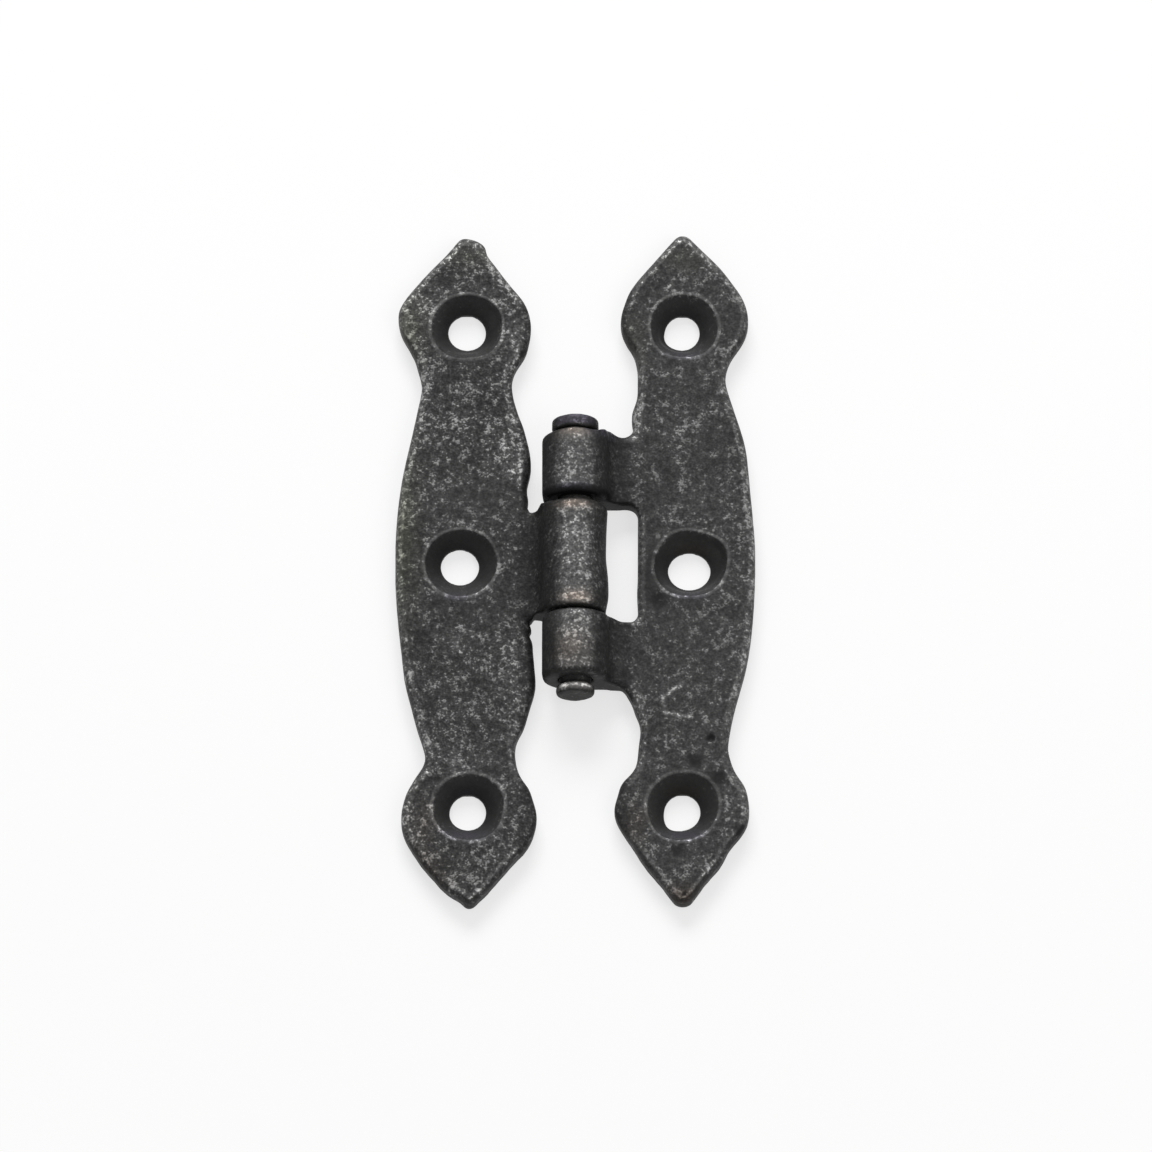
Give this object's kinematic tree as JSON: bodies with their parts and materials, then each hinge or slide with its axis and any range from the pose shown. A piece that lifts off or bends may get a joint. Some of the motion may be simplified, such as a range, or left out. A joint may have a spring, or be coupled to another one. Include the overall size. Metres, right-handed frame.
{
  "type": "surface mounted H hinge",
  "caption": "Small cast iron H hinge with spear-ended leaves, countersunk screw holes and a pin with a button head, lying open flat.",
  "frame": {"origin": "on the back plane, under the pin, at mid-height of the hinge", "axes": "+Z out of the front face, +Y along the pin towards its head, +X from the left leaf to the right leaf"},
  "size_m": [0.042, 0.0826, 0.0078],
  "materials": {
    "cast_iron": "dark antiqued cast iron, rubbed grey on its raised edges",
    "pin_steel": "dark antiqued iron, rubbed bright on the rim of its tail"
  },
  "bodies": {
    "right_side": {"right_leaf": "cast_iron", "hinge_pin": "pin_steel"},
    "left_side": {"left_leaf": "cast_iron"}
  },
  "joints": [
    {"name": "leaf_fold", "type": "hinge", "parent": "right_side", "child": "left_side", "pos_m": [0, 0, 0.0039], "axis": [0, 1, 0], "range_deg": [-100, 185]}
  ]
}
